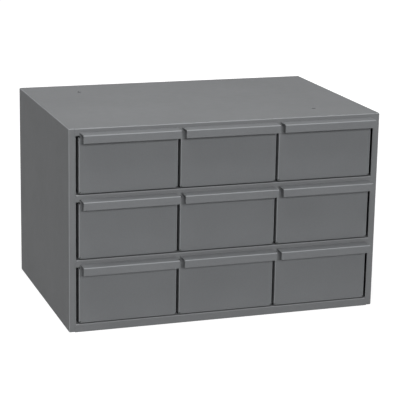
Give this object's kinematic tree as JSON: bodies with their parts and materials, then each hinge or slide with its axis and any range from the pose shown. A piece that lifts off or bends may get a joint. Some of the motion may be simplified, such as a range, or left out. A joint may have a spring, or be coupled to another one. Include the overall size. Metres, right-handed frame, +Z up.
{
  "type": "drill bit drawer case",
  "caption": "Folded steel parts case with a grid of small slide-out drawers, each with a full-width folded pull and a cross divider, painted plain grey.",
  "frame": {"origin": "middle of the footprint, pulls included, on the surface the case stands on", "axes": "+X to the right seen from the front, +Y from the drawer fronts to the back, +Z up"},
  "size_m": [0.4382, 0.3162, 0.2762],
  "materials": {
    "case_paint": "satin grey powder coat",
    "front_paint": "satin grey powder coat",
    "tray_paint": "satin grey powder coat",
    "divider_paint": "satin grey powder coat"
  },
  "bodies": {
    "case": {"case_wrapper": "case_paint", "back_panel": "case_paint", "base_pan": "case_paint", "shelf_lower": "case_paint", "shelf_upper": "case_paint", "partition_r1_1": "case_paint", "partition_r1_2": "case_paint", "partition_r2_1": "case_paint", "partition_r2_2": "case_paint", "partition_r3_1": "case_paint", "partition_r3_2": "case_paint"},
    "drawer_r1_c1": {"front_r1_c1": "front_paint", "tray_r1_c1": "tray_paint", "divider_r1_c1": "divider_paint"},
    "drawer_r1_c2": {"front_r1_c2": "front_paint", "tray_r1_c2": "tray_paint", "divider_r1_c2": "divider_paint"},
    "drawer_r1_c3": {"front_r1_c3": "front_paint", "tray_r1_c3": "tray_paint", "divider_r1_c3": "divider_paint"},
    "drawer_r2_c1": {"front_r2_c1": "front_paint", "tray_r2_c1": "tray_paint", "divider_r2_c1": "divider_paint"},
    "drawer_r2_c2": {"front_r2_c2": "front_paint", "tray_r2_c2": "tray_paint", "divider_r2_c2": "divider_paint"},
    "drawer_r2_c3": {"front_r2_c3": "front_paint", "tray_r2_c3": "tray_paint", "divider_r2_c3": "divider_paint"},
    "drawer_r3_c1": {"front_r3_c1": "front_paint", "tray_r3_c1": "tray_paint", "divider_r3_c1": "divider_paint"},
    "drawer_r3_c2": {"front_r3_c2": "front_paint", "tray_r3_c2": "tray_paint", "divider_r3_c2": "divider_paint"},
    "drawer_r3_c3": {"front_r3_c3": "front_paint", "tray_r3_c3": "tray_paint", "divider_r3_c3": "divider_paint"}
  },
  "joints": [
    {"name": "slide_r1_c1", "type": "slide", "parent": "case", "child": "drawer_r1_c1", "axis": [0, -1, 0], "range_m": [0, 0.2286]},
    {"name": "slide_r1_c2", "type": "slide", "parent": "case", "child": "drawer_r1_c2", "axis": [0, -1, 0], "range_m": [0, 0.2286]},
    {"name": "slide_r1_c3", "type": "slide", "parent": "case", "child": "drawer_r1_c3", "axis": [0, -1, 0], "range_m": [0, 0.2286]},
    {"name": "slide_r2_c1", "type": "slide", "parent": "case", "child": "drawer_r2_c1", "axis": [0, -1, 0], "range_m": [0, 0.2286]},
    {"name": "slide_r2_c2", "type": "slide", "parent": "case", "child": "drawer_r2_c2", "axis": [0, -1, 0], "range_m": [0, 0.2286]},
    {"name": "slide_r2_c3", "type": "slide", "parent": "case", "child": "drawer_r2_c3", "axis": [0, -1, 0], "range_m": [0, 0.2286]},
    {"name": "slide_r3_c1", "type": "slide", "parent": "case", "child": "drawer_r3_c1", "axis": [0, -1, 0], "range_m": [0, 0.2286]},
    {"name": "slide_r3_c2", "type": "slide", "parent": "case", "child": "drawer_r3_c2", "axis": [0, -1, 0], "range_m": [0, 0.2286]},
    {"name": "slide_r3_c3", "type": "slide", "parent": "case", "child": "drawer_r3_c3", "axis": [0, -1, 0], "range_m": [0, 0.2286]}
  ]
}
